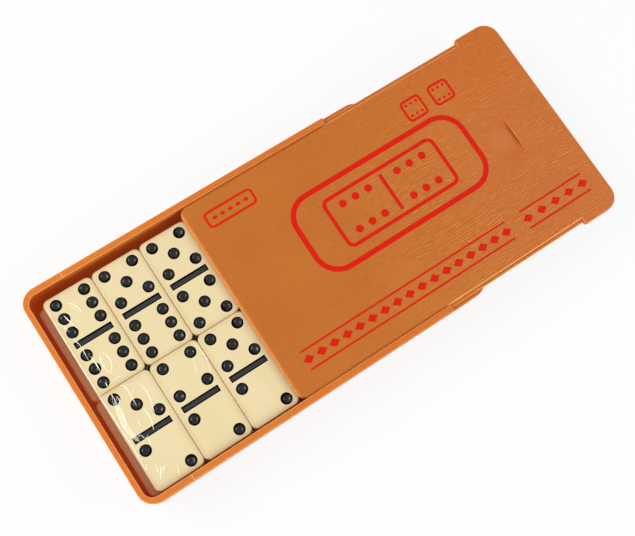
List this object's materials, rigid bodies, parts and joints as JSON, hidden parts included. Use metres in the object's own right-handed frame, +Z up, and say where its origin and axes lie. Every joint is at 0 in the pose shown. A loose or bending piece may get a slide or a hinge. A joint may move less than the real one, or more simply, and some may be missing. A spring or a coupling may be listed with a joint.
{
  "type": "domino storage box",
  "caption": "Flat moulded tray with grooved side rails, a sliding lid with a thumb scoop, and a full double-six set of domino tiles packed in two layers.",
  "frame": {"origin": "middle of the tray's flat underside", "axes": "+X towards the open end, where the lid slides out; +Y across the box; +Z up, out of the tray"},
  "size_m": [0.264, 0.111, 0.026],
  "materials": {
    "tray_plastic": "satin moulded caramel plastic",
    "lid_plastic": "satin caramel plastic with fine moulded woodgrain and a red print",
    "tile_ivory": "polished ivory with glossy black painted pips and centre bar"
  },
  "bodies": {
    "tray": {"tray": "tray_plastic", "tile_6_1": "tile_ivory", "tile_6_0": "tile_ivory", "tile_5_3": "tile_ivory", "tile_5_1": "tile_ivory", "tile_5_0": "tile_ivory", "tile_4_3": "tile_ivory", "tile_4_1": "tile_ivory", "tile_4_0": "tile_ivory", "tile_3_3": "tile_ivory", "tile_3_1": "tile_ivory", "tile_3_0": "tile_ivory", "tile_1_1": "tile_ivory", "tile_1_0": "tile_ivory", "tile_0_0": "tile_ivory", "tile_5_5": "tile_ivory", "tile_6_4": "tile_ivory", "tile_5_4": "tile_ivory", "tile_4_4": "tile_ivory", "tile_6_3": "tile_ivory", "tile_5_2": "tile_ivory", "tile_6_2": "tile_ivory", "tile_2_2": "tile_ivory", "tile_2_1": "tile_ivory", "tile_2_0": "tile_ivory"},
    "lid": {"lid": "lid_plastic"},
    "tile_6_6": {"tile_6_6": "tile_ivory"},
    "tile_6_5": {"tile_6_5": "tile_ivory"},
    "tile_3_2": {"tile_3_2": "tile_ivory"},
    "tile_4_2": {"tile_4_2": "tile_ivory"}
  },
  "joints": [
    {"name": "lid_slide", "type": "slide", "parent": "tray", "child": "lid", "axis": [1, 0, 0], "range_m": [-0.078, 0.082]},
    {"name": "lift_tile_6_6", "type": "slide", "parent": "tray", "child": "tile_6_6", "axis": [0, 0, 1], "range_m": [0, 0.06]},
    {"name": "lift_tile_6_5", "type": "slide", "parent": "tray", "child": "tile_6_5", "axis": [0, 0, 1], "range_m": [0, 0.06]},
    {"name": "lift_tile_3_2", "type": "slide", "parent": "tray", "child": "tile_3_2", "axis": [0, 0, 1], "range_m": [0, 0.06]},
    {"name": "lift_tile_4_2", "type": "slide", "parent": "tray", "child": "tile_4_2", "axis": [0, 0, 1], "range_m": [0, 0.06]}
  ]
}
